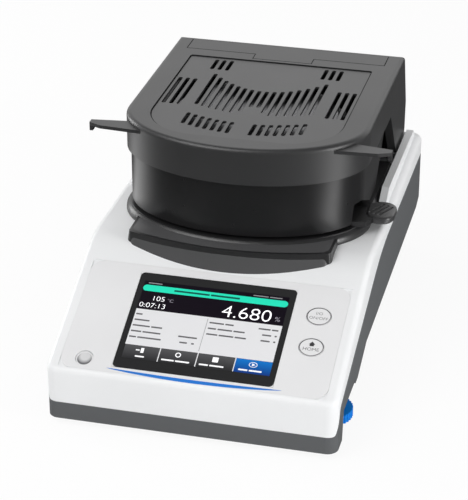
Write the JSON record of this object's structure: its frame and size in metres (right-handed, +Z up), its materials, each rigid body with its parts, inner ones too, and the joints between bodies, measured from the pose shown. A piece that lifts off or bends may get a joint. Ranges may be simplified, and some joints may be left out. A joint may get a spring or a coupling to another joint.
{
  "type": "moisture analyzer",
  "caption": "Bench moisture analyzer: wedge housing with touch display and two keys, weighing pan under a hinged vented halogen heating lid, levelling feet.",
  "frame": {"origin": "middle of the outline on the bench, under the feet", "axes": "+X to the object's right, +Y to its rear, +Z up"},
  "size_m": [0.223, 0.34, 0.175],
  "materials": {
    "white_shell": "smooth satin moulding",
    "dark_case": "fine moulded texture",
    "lid_grey": "fine moulded texture",
    "vent_grey": "fine moulded texture",
    "band_black": "polished",
    "ring_black": "satin",
    "overlay_grey": "printed film",
    "key_white": "printed film",
    "touch_glass": "polished glass panel",
    "screen": "display",
    "wheel_blue": "moulded",
    "rubber": "matte",
    "steel": "brushed",
    "bright_metal": "polished",
    "aluminium": "machined",
    "clear_glass": "clear",
    "level_fluid": "clear",
    "board": "circuit board",
    "ceramic_white": "glazed",
    "connector_black": "moulded"
  },
  "bodies": {
    "root": {"upper_case": "white_shell", "lower_case": "dark_case", "panel_overlay": "overlay_grey", "display_glass": "touch_glass", "display_module": "screen", "key_board": "board", "level_body": "overlay_grey", "level_vial": "level_fluid", "chamber_base": "ring_black", "chamber_dish": "bright_metal", "draught_ring": "aluminium", "pan_support": "steel", "hinge_bridge": "ring_black", "hinge_pins": "steel", "hinge_washers": "steel", "rear_feet": "rubber", "chassis_plate": "steel", "weighing_cell": "aluminium", "load_shaft": "steel", "main_board": "board", "power_supply": "board", "power_inlet": "connector_black", "serial_port": "steel", "usb_port": "steel", "case_screws": "steel", "chassis_screws": "steel", "bridge_screws": "steel"},
    "lid": {"lid_cover": "lid_grey", "vent_plate": "vent_grey", "rear_cap": "lid_grey", "lid_band": "band_black", "lid_skirt": "ring_black", "lid_handle_left": "lid_grey", "lid_handle_right": "lid_grey", "lid_liner": "bright_metal", "glass_plate": "clear_glass", "glass_ring": "steel", "reflector": "bright_metal", "lamp_socket": "ceramic_white", "halogen_lamp": "clear_glass", "temperature_sensor": "steel", "hinge_bushes": "connector_black", "lid_screws": "steel"},
    "handle": {"pan_handle": "ring_black"},
    "pan": {"sample_pan": "aluminium"},
    "power_button": {"power_key": "key_white"},
    "home_button": {"home_key": "key_white"},
    "left_foot": {"foot_stud_left": "steel", "foot_pad_left": "rubber"},
    "left_wheel": {"foot_wheel_left": "wheel_blue"},
    "right_foot": {"foot_stud_right": "steel", "foot_pad_right": "rubber"},
    "right_wheel": {"foot_wheel_right": "wheel_blue"}
  },
  "joints": [
    {"name": "lid_hinge", "type": "hinge", "parent": "root", "child": "lid", "pos_m": [0, 0.14, 0.112], "axis": [-1, 0, 0], "range_deg": [0, 70]},
    {"name": "handle_lift", "type": "slide", "parent": "root", "child": "handle", "axis": [0, 0, 1], "range_m": [0, 0.005]},
    {"name": "pan_lift", "type": "slide", "parent": "handle", "child": "pan", "axis": [0, 0, 1], "range_m": [0, 0.03]},
    {"name": "power_press", "type": "slide", "parent": "root", "child": "power_button", "axis": [0, 0.4067, -0.9135], "range_m": [0, 0.0005], "stiffness_N_per_m": 3000, "springref_m": -0.0003},
    {"name": "home_press", "type": "slide", "parent": "root", "child": "home_button", "axis": [0, 0.4067, -0.9135], "range_m": [0, 0.0005], "stiffness_N_per_m": 3000, "springref_m": -0.0003},
    {"name": "left_foot_slide", "type": "slide", "parent": "root", "child": "left_foot", "axis": [0, 0, 1], "range_m": [-0.002, 0.002]},
    {"name": "left_wheel_turn", "type": "hinge", "parent": "left_foot", "child": "left_wheel", "pos_m": [-0.089, -0.123, 0.011], "axis": [0, 0, 1], "range_deg": [-720.5, 720.5]},
    {"name": "right_foot_slide", "type": "slide", "parent": "root", "child": "right_foot", "axis": [0, 0, 1], "range_m": [-0.002, 0.002]},
    {"name": "right_wheel_turn", "type": "hinge", "parent": "right_foot", "child": "right_wheel", "pos_m": [0.089, -0.123, 0.011], "axis": [0, 0, 1], "range_deg": [-720.5, 720.5]}
  ],
  "couplings": [
    {"joint": "left_wheel_turn", "follows": "left_foot_slide", "rad_per_m": 6283.2},
    {"joint": "right_wheel_turn", "follows": "right_foot_slide", "rad_per_m": 6283.2}
  ]
}
